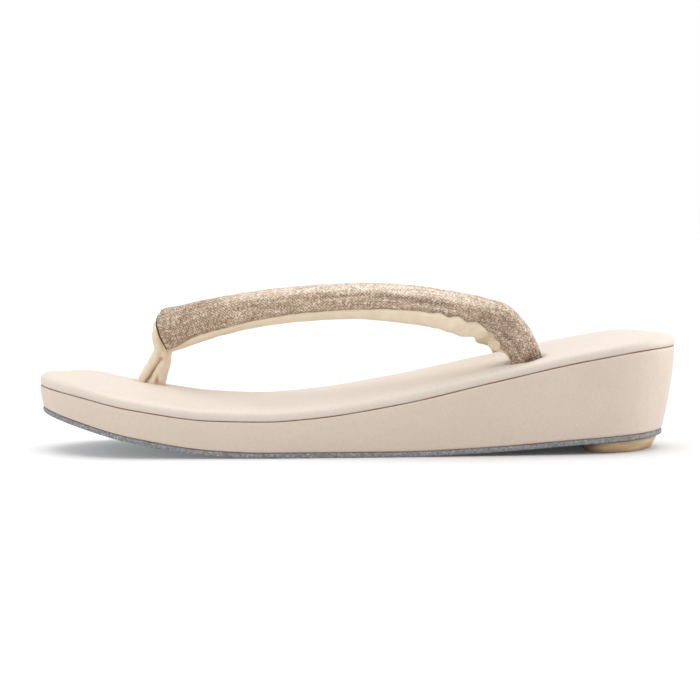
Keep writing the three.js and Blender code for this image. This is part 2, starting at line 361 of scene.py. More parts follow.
class ZoriStudio(bpy.types.PropertyGroup):
    distance: length_prop("Distance", "From the camera to the sandal's middle", 0.800)
    height: length_prop("Height", "Camera above the floor", 0.0854)
    offset: length_prop("Offset", "Camera to the side of the middle, towards the toe", 0.00352)
    turn: angle_prop("Turn", "How far the camera stands towards the toe", 2.95)
    pitch: angle_prop("Pitch", "How far the camera looks down", 3.465)
    lens: number_prop("Lens", "Focal length for a 36 mm sensor", 108.87,
                      subtype="DISTANCE_CAMERA", unit="CAMERA")
    sky: number_prop("Sky", "Strength of the even white surround", 1.0)
    overhead: number_prop("Overhead", "Strength of the broad light from above", 1.8)
    overhead_spread: angle_prop("Overhead spread", "How broad the light from above is", 60)
    # Painted light: the floor glows, most at the toe, to lighten the shadow under the toe; it is no lamp.
    floor_glow: number_prop("Floor glow", "Light that comes through the table, at the toe", 0.17)
    heel_light: power_prop("Heel light", "Power of the softbox behind the heel", 2.2)
    toe_light: power_prop("Toe light", "Power of the softbox before the toe", 0.5)


# ---- curves ----


def look_up(table, key, column, at):
    """Smooth value of a table's column at a key, without overshoot between rows."""
    last = len(table) - 1
    at = min(max(at, table[0][key]), table[last][key])
    i = 0
    while i < last - 1 and at > table[i + 1][key]:
        i += 1

    def slope(k):
        rise = table[k + 1][column] - table[k][column]
        return rise / (table[k + 1][key] - table[k][key])

    def tangent(k):
        if k == 0:
            return slope(0)
        if k == last:
            return slope(last - 1)
        before, after = slope(k - 1), slope(k)
        return 0.0 if before * after <= 0 else 2 * before * after / (before + after)

    step = table[i + 1][key] - table[i][key]
    s = (at - table[i][key]) / step
    rise = s * s * (3 - 2 * s)
    mix = table[i][column] * (1 - rise) + table[i + 1][column] * rise
    return mix + step * (tangent(i) * s * (1 - s) ** 2 - tangent(i + 1) * s * s * (1 - s))


def smoothstep(low, high, value):
    """Goes from 0 at low to 1 at high; low may be the larger of the two."""
    s = min(max((value - low) / (high - low), 0.0), 1.0)
    return s * s * (3 - 2 * s)


def bell(off, width):
    """1 in the middle, falling off smoothly on both sides."""
    return math.exp(-((off / width) ** 2))


def back_share(x):
    return (LENGTH / 2 - x) / LENGTH


def seam_at(x):
    return look_up(PROFILE, "back", "seam", back_share(x))


def under_at(x):
    return look_up(PROFILE, "back", "under", back_share(x))


def rounded_end(distance):
    share = min(distance / ROUND_LENGTH, 1.0)
    return (1 - (1 - share) ** ROUND_POWER) ** (1 / ROUND_POWER)


def outline_point(turn):
    """Point of the footbed's outline; turn is 0 at the toe, pi at the heel."""
    x = LENGTH / 2 * math.cos(turn)
    half = look_up(WIDTHS, "back", "half", back_share(x))
    half *= rounded_end(LENGTH / 2 - x) * rounded_end(LENGTH / 2 + x)
    return Vector((x, math.copysign(half, math.sin(turn))))


def inward_at(turn):
    """Direction inward from the outline."""
    along = (outline_point(turn + TURN_STEP) - outline_point(turn - TURN_STEP)).normalized()
    return Vector((-along.y, along.x))


def outline(steps):
    """Points round the outline and the direction inward at each."""
    rows = []
    for i in range(2 * steps):
        turn = math.pi * i / steps
        point = outline_point(turn)
        if i % steps == 0:
            point.y = 0.0
        rows.append((point, inward_at(turn)))
    return rows


def lean_at(x, down):
    """Inward lean of the side wall at a share of the way down from the seam."""
    heel = smoothstep(LENGTH / 2 - HEEL_ZONE, LENGTH / 2, -x)
    sides = TOE_LEAN + (SIDE_LEAN - TOE_LEAN) * back_share(x)
    return (sides + heel * (BACK_LEAN - SIDE_LEAN)) * down**LEAN_POWER


def ring(rows, inward, height):
    """A closed ring: each outline point moved inward and put at its height."""
    points = []
    for point, inner in rows:
        moved = point + inner * inward(point.x)
        points.append(Vector((moved.x, moved.y, height(moved.x))))
    return points


def centripetal(points, share):
    """Point of a centripetal Catmull-Rom curve through points, at a share of its rows."""
    at = share * (len(points) - 1)
    i = min(int(at), len(points) - 2)
    w = at - i
    p1, p2 = points[i], points[i + 1]
    p0 = points[i - 1] if i > 0 else p1 * 2 - p2
    p3 = points[i + 2] if i + 2 < len(points) else p2 * 2 - p1
    d0, d1, d2 = (math.sqrt((b - a).length) for a, b in ((p0, p1), (p1, p2), (p2, p3)))
    t1 = ((p1 - p0) / d0 - (p2 - p0) / (d0 + d1) + (p2 - p1) / d1) * d1
    t2 = ((p2 - p1) / d1 - (p3 - p1) / (d1 + d2) + (p3 - p2) / d2) * d1
    return (
        p1 * (2 * w**3 - 3 * w**2 + 1)
        + t1 * (w**3 - 2 * w**2 + w)
        + p2 * (3 * w**2 - 2 * w**3)
        + t2 * (w**3 - w**2)
    )


# ---- meshes ----


def add_object(name, data):
    """A new object in the scene."""
    thing = bpy.data.objects.new(name, data)
    bpy.context.scene.collection.objects.link(thing)
    return thing


def plain_mesh(source, name):
    """Swaps an object for a plain mesh of what its modifiers make."""
    graph = bpy.context.evaluated_depsgraph_get()
    mesh = bpy.data.meshes.new_from_object(source.evaluated_get(graph))
    mesh.name = name
    bpy.data.objects.remove(source)
    return add_object(name, mesh)


def make_piece(name, points, faces, materials, face_slots=None, uvs=None, painted_shades=None):
    """A smooth mesh object at the origin from points in millimetres."""
    mesh = bpy.data.meshes.new(name)
    mesh.from_pydata([tuple(p * MM) for p in points], [], faces)
    for material in materials:
        mesh.materials.append(material)
    mesh.polygons.foreach_set("use_smooth", [True] * len(mesh.polygons))
    if face_slots:
        mesh.polygons.foreach_set("material_index", face_slots)
    if uvs:
        layer = mesh.uv_layers.new(name="weave")
        layer.data.foreach_set("uv", [value for uv in uvs for value in uv])
    if painted_shades:
        store_painted_shades(mesh, painted_shades)
    mesh.update()
    return add_object(name, mesh)


def store_painted_shades(mesh, painted_shades):
    """Keeps the painted shade at each point, deepest in folds, for the cloth and cotton finishes; below
    zero it is a painted highlight.
    """
    mesh.attributes.new("hollow", "FLOAT", "POINT").data.foreach_set("value", painted_shades)


def band_faces(count, rings):
    """Quads between stacked rings of equal count, facing out when the rings climb."""
    faces = []
    for r in range(rings - 1):
        for i in range(count):
            a, b = r * count + i, r * count + (i + 1) % count
            faces.append((a, b, b + count, a + count))
    return faces


def rung_faces(base, count, up):
    """Closes a ring from toe to heel with rungs across; up says which way they face."""
    faces = []
    for i in range(count // 2):
        face = [base + i, base + i + 1, base + count - i - 1]
        if i > 0:
            face.append(base + count - i)
        if i == count // 2 - 1:
            face.pop(2)
        faces.append(tuple(face if up else reversed(face)))
    return faces


def shell_faces(count, rings):
    """A closed shell of stacked rings, with rungs across its bottom and top."""
    top = (rings - 1) * count
    return band_faces(count, rings) + rung_faces(0, count, up=False) + rung_faces(top, count, up=True)


def ride(piece, slot, *nodes):
    """Says what a piece rides on and the nodes it stands for; the colour slot is not used."""
    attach(piece, ROOT)
    if nodes:
        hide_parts(*nodes)


# ---- finishes ----


def darker(colour, share):
    return tuple(channel * share for channel in colour)


class Finish:
    """A node material with one principled shader and short helpers to wire it."""

    def __init__(self, name, roughness, **sockets):
        self.material = bpy.data.materials.new(name)
        self.material.use_nodes = True
        self.tree = self.material.node_tree
        self.shader = self.tree.nodes["Principled BSDF"]
        self.shader.inputs["Roughness"].default_value = roughness
        for key, value in sockets.items():
            self.shader.inputs[key.replace("_", " ")].default_value = value

    def add(self, kind, inputs=None, **settings):
        node = self.tree.nodes.new("ShaderNode" + kind)
        for key, value in settings.items():
            setattr(node, key, value)
        for key, value in (inputs or {}).items():
            self.feed(node.inputs[key], value)
        return node

    def feed(self, socket, value):
        if isinstance(value, bpy.types.NodeSocket):
            self.tree.links.new(value, socket)
        elif socket.type == "RGBA":
            socket.default_value = (*value, 1.0)
        else:
            socket.default_value = value

    def place(self, kind="Object"):
        return self.add("TexCoord").outputs[kind]

    def stretch(self, vector, scale):
        return self.add("Mapping", {"Vector": vector, "Scale": scale}).outputs[0]

    def hollow(self):
        """The painted shade stored on the mesh, deepest in folds; below zero a painted highlight."""
        return self.add("Attribute", attribute_name="hollow").outputs["Fac"]

    def noise(self, vector, size, detail=3.0, roughness=0.55):
        """Noise whose features are about size metres across."""
        inputs = {"Vector": vector, "Scale": 1 / size, "Detail": detail, "Roughness": roughness}
        return self.add("TexNoise", inputs).outputs["Fac"]

    def cells(self, vector, size, feature="F1", randomness=1.0, dimensions="3D"):
        inputs = {"Vector": vector, "Scale": 1 / size, "Randomness": randomness}
        return self.add("TexVoronoi", inputs, feature=feature, voronoi_dimensions=dimensions)

    def weave(self, place, long, tall):
        """Plain weave: +1 where one set of threads is on top, -1 where the other is."""
        axes = self.add("SeparateXYZ", {"Vector": place})
        waves = [
            self.math("SINE", self.times(axes.outputs[i], math.pi / size))
            for i, size in enumerate((long, tall))
        ]
        return self.times(*waves)

    def spread(self, value, low, high, new_low=0.0, new_high=1.0):
        inputs = {
            "Value": value, "From Min": low, "From Max": high,
            "To Min": new_low, "To Max": new_high,
        }
        return self.add("MapRange", inputs, clamp=True).outputs["Result"]

    def blend(self, factor, first, second):
        node = self.add("Mix", data_type="RGBA")
        self.feed(node.inputs[0], factor)
        self.feed(node.inputs[6], first)
        self.feed(node.inputs[7], second)
        return node.outputs[2]

    def two_tone(self, value, low, high, first, second):
        """Blends from the first colour to the second as the value goes from low to high."""
        return self.blend(self.spread(value, low, high), first, second)

    def mottled(self, value, low, high, colour, dark, pale):
        """One colour, from a darker share of it to a paler one."""
        return self.two_tone(value, low, high, darker(colour, dark), darker(colour, pale))

    def times(self, first, second):
        return self.math("MULTIPLY", first, second)

    def shift(self, operation, first, second):
        """One vector added to or multiplied by another."""
        return self.add("VectorMath", {0: first, 1: second}, operation=operation).outputs[0]

    def math(self, operation, first, second=0.0):
        node = self.add("Math", operation=operation)
        self.feed(node.inputs[0], first)
        self.feed(node.inputs[1], second)
        return node.outputs[0]

    def raise_by(self, height, distance, strength, under=None):
        inputs = {"Height": height, "Distance": distance, "Strength": strength}
        if under is not None:
            inputs["Normal"] = under
        return self.add("Bump", inputs).outputs["Normal"]

    def set(self, socket, value):
        self.feed(self.shader.inputs[socket], value)


def leather(name, colour, grain, depth):
    """Fine-grained leather: small raised cells, faint clouds of tone and a satin surface."""
    finish = Finish(name, roughness=0.46, Specular_IOR_Level=0.42)
    place = finish.place()
    clouds = finish.noise(place, 0.022, detail=2.0)
    cell = finish.cells(place, grain, feature="SMOOTH_F1").outputs["Distance"]
    creases = finish.times(finish.spread(cell, 0.35, 0.75), 0.22)
    tone = finish.mottled(clouds, 0.3, 0.7, colour, 0.975, 1.02)
    finish.set("Base Color", finish.blend(creases, tone, darker(colour, 0.80)))
    finish.set("Roughness", finish.spread(clouds, 0.3, 0.7, 0.42, 0.52))
    grain_bump = finish.raise_by(cell, -depth, 0.8)
    soft = finish.noise(place, grain * 3.5)
    finish.set("Normal", finish.raise_by(soft, depth * 2.2, 0.6, under=grain_bump))
    return finish.material


def raw_edge_finish(colours, name="raw_edge", share=1.0):
    """Cut leather in the seam: dark brown, with paler stretches along it."""
    finish = Finish(name, roughness=0.8)
    patches = finish.noise(finish.place(), 0.009)
    # A share below one darkens both tones; the nose rim uses it for painted shade.
    dark, pale = darker(colours.raw_edge, share), darker(colours.wrap, 0.5 * share)
    finish.set("Base Color", finish.two_tone(patches, 0.42, 0.70, dark, pale))
    return finish.material


def cloth_finish(colours):
    """Strap cloth: plain weave of uneven threads in two tones, with painted shade in folds and a painted
    highlight along the top.
    """
    dark, mid, light = colours.cloth_dark, colours.cloth_mid, colours.cloth_light
    finish = Finish("strap_cloth", roughness=0.6, Sheen_Weight=0.34, Sheen_Roughness=0.35)
    flat = finish.place("UV")
    drift = finish.add("TexNoise", {"Vector": flat, "Scale": 400.0, "Detail": 1.0}).outputs["Color"]
    place = finish.shift("ADD", flat, finish.shift("MULTIPLY", drift, (0.0003, 0.0003, 0.0)))
    weave = finish.weave(place, 0.00066, 0.00056)
    threads = finish.cells(place, 0.00048, randomness=0.8, dimensions="2D")
    picks = finish.add("SeparateColor", {"Color": threads.outputs["Color"]})
    rows = finish.noise(finish.stretch(place, (0.07, 1.0, 1.0)), 0.0010, detail=2.0)
    ribs = finish.noise(finish.stretch(place, (1.0, 0.10, 1.0)), 0.00065, detail=1.0)
    clouds = finish.noise(place, 0.009, detail=2.0)
    tone = finish.spread(weave, -0.8, 0.8, 0.34, 0.66)
    for value, low, high, reach in (
        (picks.outputs[0], 0.0, 1.0, 0.27), (rows, 0.3, 0.7, 0.17), (ribs, 0.3, 0.7, 0.10),
        (clouds, 0.3, 0.7, 0.05),
    ):
        tone = finish.math("ADD", tone, finish.spread(value, low, high, -reach, reach))
    hollow = finish.hollow()
    # Painted highlight: where the stored shade is below zero, along the top of the strap, the cloth is
    # paler.
    relief_and_highlight = finish.spread(hollow, 0.0, -0.5)
    tone = finish.math("ADD", tone, finish.times(relief_and_highlight, 0.22))
    colour = finish.two_tone(tone, 0.5, 1.0, finish.two_tone(tone, 0.0, 0.5, dark, mid), light)
    # Painted shade: folds are blended towards the darkest threads, broken into dashes along the strap.
    streaks = finish.noise(finish.stretch(place, (0.25, 1.0, 1.0)), 0.0007, detail=2.0)
    dashes = finish.spread(streaks, 0.4, 0.6, 0.12, 0.55)
    colour = finish.blend(finish.times(finish.spread(hollow, 0.0, 1.0), dashes), colour, dark)
    finish.set("Base Color", finish.blend(finish.times(relief_and_highlight, 0.15), colour, light))
    shine = finish.spread(picks.outputs[1], 0.78, 0.84)
    finish.set("Metallic", finish.times(shine, 0.4))
    finish.set("Roughness", finish.spread(shine, 0.0, 1.0, 0.66, 0.38))
    thread = finish.raise_by(weave, 0.00004, 0.8)
    finish.set("Normal", finish.raise_by(ribs, 0.00008, 0.6, under=thread))
    return finish.material


def cotton_finish(name, colours, shade):
    """Brushed cotton: pale and soft with a faint nap, with painted shade, browner, in the depth of a fold.
    """
    finish = Finish(name, roughness=0.88, Sheen_Weight=0.2, Sheen_Roughness=0.5)
    place = finish.place()
    clouds = finish.noise(place, 0.005)
    tone = finish.mottled(clouds, 0.3, 0.7, colours.lining, 0.93, 1.05)
    # Painted shade: the deeper the fold, the nearer the fold shade colour.
    depth = finish.times(finish.spread(finish.hollow(), 0.05, 1.0), shade)
    finish.set("Base Color", finish.blend(depth, tone, colours.fold_shade))
    nap = finish.noise(place, 0.00045, detail=4.0, roughness=0.7)
    finish.set("Normal", finish.raise_by(nap, 0.00012, 0.6))
    return finish.material


def outsole_finish(colours):
    """Grey rubber sheet with pale flecks and a slightly crumbly surface."""
    finish = Finish("outsole_rubber", roughness=0.82)
    place = finish.place()
    mottle = finish.noise(place, 0.0009, detail=4.0, roughness=0.7)
    base = finish.mottled(mottle, 0.36, 0.64, colours.outsole, 0.62, 1.42)
    fleck = finish.cells(place, 0.0006)
    pick = finish.add("SeparateColor", {"Color": fleck.outputs["Color"]}).outputs[0]
    near = finish.spread(fleck.outputs["Distance"], 0.25, 0.5, 1.0, 0.0)
    amount = finish.times(finish.spread(pick, 0.70, 0.82), near)
    finish.set("Base Color", finish.blend(finish.times(amount, 0.7), base, colours.fleck))
    finish.set("Normal", finish.raise_by(mottle, 0.00022, 0.8))
    return finish.material


def lift_finish(colours):
    """Tan rubber with faint level layers and small pits."""
    finish = Finish("heel_lift_rubber", roughness=0.55)
    place = finish.place()
    layers = finish.noise(finish.stretch(place, (0.15, 0.15, 1.0)), 0.0012)
    finish.set("Base Color", finish.mottled(layers, 0.35, 0.65, colours.lift, 0.85, 1.12))
    finish.set("Normal", finish.raise_by(finish.noise(place, 0.0006), 0.00012, 0.5))
    return finish.material


def floor_finish(colours, glow):
    """White floor that glows, more at the toe than under the heel: painted light that lightens the shadow
    under the toe.
    """
    heel_glow, from_x, to_x = 0.15 * glow, -0.06, 0.08
    finish = Finish("studio_floor", roughness=0.6)
    finish.set("Base Color", colours.floor)
    finish.set("Emission Color", (1.0, 1.0, 1.0))
    length = finish.add("SeparateXYZ", {"Vector": finish.place()}).outputs[0]
    # Painted light: the floor's own glow, fading from the toe to the heel.
    finish.set("Emission Strength", finish.spread(length, from_x, to_x, heel_glow, glow))
    return finish.material


# ---- sole pieces ----

OUTLINE_STEPS = 320


class ZORI_OT_outsole(bpy.types.Operator):
    """Add the thin speckled outsole, its edge slightly rounded"""

    bl_idname = "zori.outsole"
    bl_label = "Outsole"

    edge_rows = (  # share of the thickness, and distance inward
        (0.00, 0.55), (0.02, 0.30), (0.12, 0.08), (0.30, 0.0), (0.70, 0.0), (0.90, 0.06), (0.99, 0.25),
        (1.00, 0.9),
    )
    unevenness = 0.10
    crumb = 1.4

    def execute(self, context):
        thick = context.scene.zori_sizes.outsole_thickness / MM
        rows = outline(OUTLINE_STEPS)
        points = []
        for share, inward in self.edge_rows:
            level = ring(rows, lambda x: lean_at(x, 1) + inward, lambda x: under_at(x) + thick * share)
            points += self.crumble(level, share)
        faces = shell_faces(len(rows), len(self.edge_rows))
        piece = make_piece("outsole_sheet", points, faces, [outsole_finish(context.scene.zori_colours)])
        ride(piece, "outsole", "outsole")
        return {"FINISHED"}

    def crumble(self, points, share):
        """Uneven cut edge, strongest at mid thickness."""
        amount = self.unevenness * math.sin(math.pi * share)
        for point in points:
            bump = noise.noise(point / self.crumb) * amount
            outward = Vector((point.x * 0.1, point.y, 0)).normalized()
            point += outward * bump
        return points


class ZORI_OT_heel_lift(bpy.types.Operator):
    """Add the tan heel lift: a D with a straight front, narrower at the floor"""

    bl_idname = "zori.heel_lift"
    bl_label = "Heel lift"

    front = -84.0
    inset = 1.6
    taper = 2.4
    corner = 9.0  # radius of the two front corners
    steps = 120
    corner_steps = 10
    rows = (  # share of the height, and distance inward
        (0.00, 0.75), (0.03, 0.30), (0.10, 0.06), (0.22, 0.0), (0.97, 0.0), (1.00, 0.3),
    )

    def execute(self, context):
        points = []
        for share, round_in in self.rows:
            inset = self.inset + self.taper * (1 - share) + round_in
            points += self.ring(inset, share, round_in)
        count = len(points) // len(self.rows)
        faces = band_faces(count, len(self.rows))
        top = (len(self.rows) - 1) * count
        faces.append(tuple(reversed(range(count))))
        faces.append(tuple(range(top, top + count)))
        piece = make_piece("heel_lift_block", points, faces, [lift_finish(context.scene.zori_colours)])
        for polygon in piece.data.polygons[-2:]:
            polygon.use_smooth = False
        ride(piece, "lift", "heel_lift")
        return {"FINISHED"}

    def ring(self, inset, share, round_in):
        """A straight front, round corners, then the outsole's outline round the back."""
        front = self.front - round_in
        back = []
        for i in range(self.steps + 1):
            turn = math.pi * (0.5 + 0.5 * i / self.steps)
            point = outline_point(turn)
            back.append(point + inward_at(turn) * (lean_at(point.x, 1) + inset))
        side = []
        for i in range(self.corner_steps):
            turn = math.pi / 2 * i / self.corner_steps
            x = front - (1 - math.cos(turn)) * self.corner
            side.append(Vector((x, self.width_at(back, x) - (1 - math.sin(turn)) * self.corner)))
        x = front - self.corner
        side += self.even_run([Vector((x, self.width_at(back, x)))] + [p for p in back if p.x < x])
        side[-1].y = 0.0
        loop = side + [Vector((p.x, -p.y)) for p in reversed(side[:-1])]
        return [Vector((p.x, p.y, max((under_at(p.x) - GAP) * share, 0.0))) for p in loop]

    def width_at(self, run, x):
        """Half width at x of a run of points that goes toward the heel."""
        for before, after in zip(run, run[1:]):
            if after.x <= x:
                return before.lerp(after, (before.x - x) / (before.x - after.x)).y
        return 0.0

    def even_run(self, run):
        """The same run in a fixed number of even steps."""
        lengths = [0.0]
        for before, after in zip(run, run[1:]):
            lengths.append(lengths[-1] + (after - before).length)
        rows = [{"at": at, "x": p.x, "y": p.y} for at, p in zip(lengths, run)]
        places = [lengths[-1] * i / self.steps for i in range(self.steps + 1)]
        return [Vector((look_up(rows, "at", "x", at), look_up(rows, "at", "y", at))) for at in places]


class ZORI_OT_platform(bpy.types.Operator):
    """Add the wedge platform wrapped in leather, its edges turned in at top and bottom"""

    bl_idname = "zori.platform"
    bl_label = "Platform"

    waves = ((17.0, 0.16), (6.0, 0.05))  # size and height of the leather's unevenness

    def execute(self, context):
        sizes = context.scene.zori_sizes
        floor = sizes.outsole_thickness / MM + GAP
        rows = outline(OUTLINE_STEPS)
        downs = sorted({row["down"] for row in WALL} | {i / WALL_STEPS for i in range(WALL_STEPS + 1)})
        points = []
        for down in reversed(downs):
            tuck = look_up(WALL, "down", "tuck", down)
            level = ring(
                rows,
                lambda x: lean_at(x, down) + tuck,
                lambda x: seam_at(x) + (under_at(x) + floor - seam_at(x)) * down,
            )
            points += [self.stretch(point, inner, down) for point, (_, inner) in zip(level, rows)]
        faces = shell_faces(len(rows), len(downs))
        wrap = leather("wrap_leather", context.scene.zori_colours.wrap, grain=0.0010, depth=0.00007)
        ride(make_piece("platform_wrap", points, faces, [wrap]), "wrap", "platform")
        return {"FINISHED"}

    def stretch(self, point, inner, down):
        """Leather over foam is never quite flat."""
        fade = math.sin(math.pi * down) ** 0.5 if 0 < down < 1 else 0.0
        swell = sum(noise.noise(point / size) * high for size, high in self.waves)
        return point - Vector((inner.x, inner.y, 0)) * swell * fade


def edge_line_tree(material):
    """Geometry nodes that sweep a small bar along a path, and the keys of its three sizes."""
    tree = bpy.data.node_groups.new("Edge line", "GeometryNodeTree")
    interface = tree.interface
    interface.new_socket("Path", in_out="INPUT", socket_type="NodeSocketGeometry")
    interface.new_socket("Bar", in_out="OUTPUT", socket_type="NodeSocketGeometry")
    keys = []
    for size in ("Height", "Width", "Spacing"):
        socket = interface.new_socket(size, in_out="INPUT", socket_type="NodeSocketFloat")
        socket.subtype = "DISTANCE"
        keys.append(socket.identifier)
    given, made, resample, section, sweep, realize, paint = (
        tree.nodes.new(kind) for kind in (
            "NodeGroupInput", "NodeGroupOutput", "GeometryNodeResampleCurve",
            "GeometryNodeCurvePrimitiveQuadrilateral", "GeometryNodeCurveToMesh",
            "GeometryNodeRealizeInstances", "GeometryNodeSetMaterial",
        )
    )
    resample.mode = "LENGTH"
    paint.inputs["Material"].default_value = material
    for giver, output, taker, socket in (
        (given, "Path", resample, "Curve"),
        (given, "Spacing", resample, "Length"),
        (given, "Width", section, "Width"),
        (given, "Height", section, "Height"),
        (resample, "Curve", sweep, "Curve"),
        (section, "Curve", sweep, "Profile Curve"),
        (sweep, "Mesh", realize, "Geometry"),
        (realize, "Geometry", paint, "Geometry"),
        (paint, "Geometry", made, "Bar"),
    ):
        tree.links.new(giver.outputs[output], taker.inputs[socket])
    return tree, keys


def swept_path(name, points, tree, sizes):
    """A closed path swept by the edge line nodes and turned into a plain mesh."""
    curve = bpy.data.curves.new(name + "_path", "CURVE")
    curve.dimensions = "3D"
    spline = curve.splines.new("POLY")
    spline.points.add(len(points) - 1)
    for place, point in zip(spline.points, points):
        place.co = (*(point * MM), 1.0)
    spline.use_cyclic_u = True
    path = add_object(name + "_path", curve)
    modifier = path.modifiers.new("Edge line", "NODES")
    modifier.node_group = tree
    for key, size in sizes:
        modifier[key] = size
    return plain_mesh(path, name)


class ZORI_OT_edge_lines(bpy.types.Operator):
    """Add the raw leather lines in the footbed seam and above the outsole"""

    bl_idname = "zori.edge_lines"
    bl_label = "Edge lines"

    depth_in_seam = 0.62
    depth_at_outsole = 0.58
    outsole_share = 0.8  # height of the line above the outsole, as a share of the seam's
    width = 0.0006
    spacing = 0.0012

    def execute(self, context):
        sizes = context.scene.zori_sizes
        tree, keys = edge_line_tree(raw_edge_finish(context.scene.zori_colours))
        rows = outline(OUTLINE_STEPS)
        floor = sizes.outsole_thickness / MM + GAP / 2
        seam = ring(rows, lambda x: self.depth_in_seam, lambda x: seam_at(x) + GAP / 2)
        sole = ring(
            rows, lambda x: lean_at(x, 1) + self.depth_at_outsole, lambda x: under_at(x) + floor,
        )
        for name, points, share in (
            ("seam_edge_line", seam, 1.0), ("sole_edge_line", sole, self.outsole_share),
        ):
            values = (sizes.edge_line * share, self.width, self.spacing)
            ride(swept_path(name, points, tree, zip(keys, values)), "wrap")
        return {"FINISHED"}


class ZORI_OT_footbed(bpy.types.Operator):
    """Add the padded footbed: rolled edge, soft dome, pulled down round the strap holes"""

    bl_idname = "zori.footbed"
    bl_label = "Footbed"

    steps = 400
    dome_steps = 44
    under_edge = 3.0  # how far in the lowest ring lies
    toe_fullness = 0.7  # extra height of the pad at the toe
    toe_zone = (88, 112)  # x over which that height fades in
    last_share = 0.965  # how close the last ring comes to the middle line
    first_pressed = 5  # rings below this one keep their height
    bump_size, bump_height = 24.0, 0.22  # slow unevenness of the padding
    press_reach, press_scale = 14, 1.2
    near_fade = 0.55  # a press mark is steep close to the hole, and soft further out
    far_share, far_fade, far_power = 0.45, 4.5, 1.4
    hole_depth = 2.6
    hole_edge = (0.5, -0.5)

    def execute(self, context):
        self.sizes = context.scene.zori_sizes
        rows = outline(self.steps)
        count = len(rows)
        points = ring(rows, lambda x: self.under_edge, lambda x: seam_at(x) + GAP)
        for row in ROLL:
            points += ring(
                rows, lambda x: row["inward"],
                lambda x: seam_at(x) + GAP + (self.rise_at(x) - GAP) * row["rise"],
            )
        edge = points[-count:]
        for i in range(1, self.dome_steps + 1):
            share = self.last_share * i / self.dome_steps
            points += [self.dome(point, share) for point in edge]
        for point in points[self.first_pressed * count:]:
            self.press(point)
        faces = shell_faces(count, len(points) // count)
        pad = leather("pad_leather", context.scene.zori_colours.pad, grain=0.0009, depth=0.00004)
        piece = make_piece("footbed_pad", points, faces, [pad])
        ride(piece, "pad", "footbed")
        return {"FINISHED"}

    def rise_at(self, x):
        """Height of the rolled edge; the padding is a little fuller at the toe."""
        return self.sizes.pad_rise / MM + self.toe_fullness * smoothstep(*self.toe_zone, x)

    def dome(self, point, share):
        """An edge point moved a share of the way to the middle line and raised."""
        reach = LENGTH / 2 - DOME_END
        x = point.x + (min(max(point.x, -reach), reach) - point.x) * share
        swell = 1 - (1 - share) ** 2
        high = look_up(DOME, "back", "high", back_share(x)) * swell
        moved = Vector((x, point.y * (1 - share), seam_at(x) + self.rise_at(x) + high))
        moved.z += noise.noise(moved / self.bump_size) * self.bump_height * swell
        return moved

    def press(self, point):
        """Lowers a point by what the strap and the post pull the pad down there."""
        deep = self.sizes.press_mark / MM
        for hole in HOLES:
            reach = math.hypot((point.x - hole["x"]) / hole["long"], (point.y - hole["y"]) / hole["wide"])
            gap = (reach - 1) * min(hole["long"], hole["wide"]) * self.press_scale
            if gap < self.press_reach:
                away = max(gap, 0.0)
                far = math.exp(-((away / self.far_fade) ** self.far_power))
                point.z -= deep * (math.exp(-away / self.near_fade) + self.far_share * far)
                point.z -= self.hole_depth * smoothstep(*self.hole_edge, gap)


# ---- strap ----


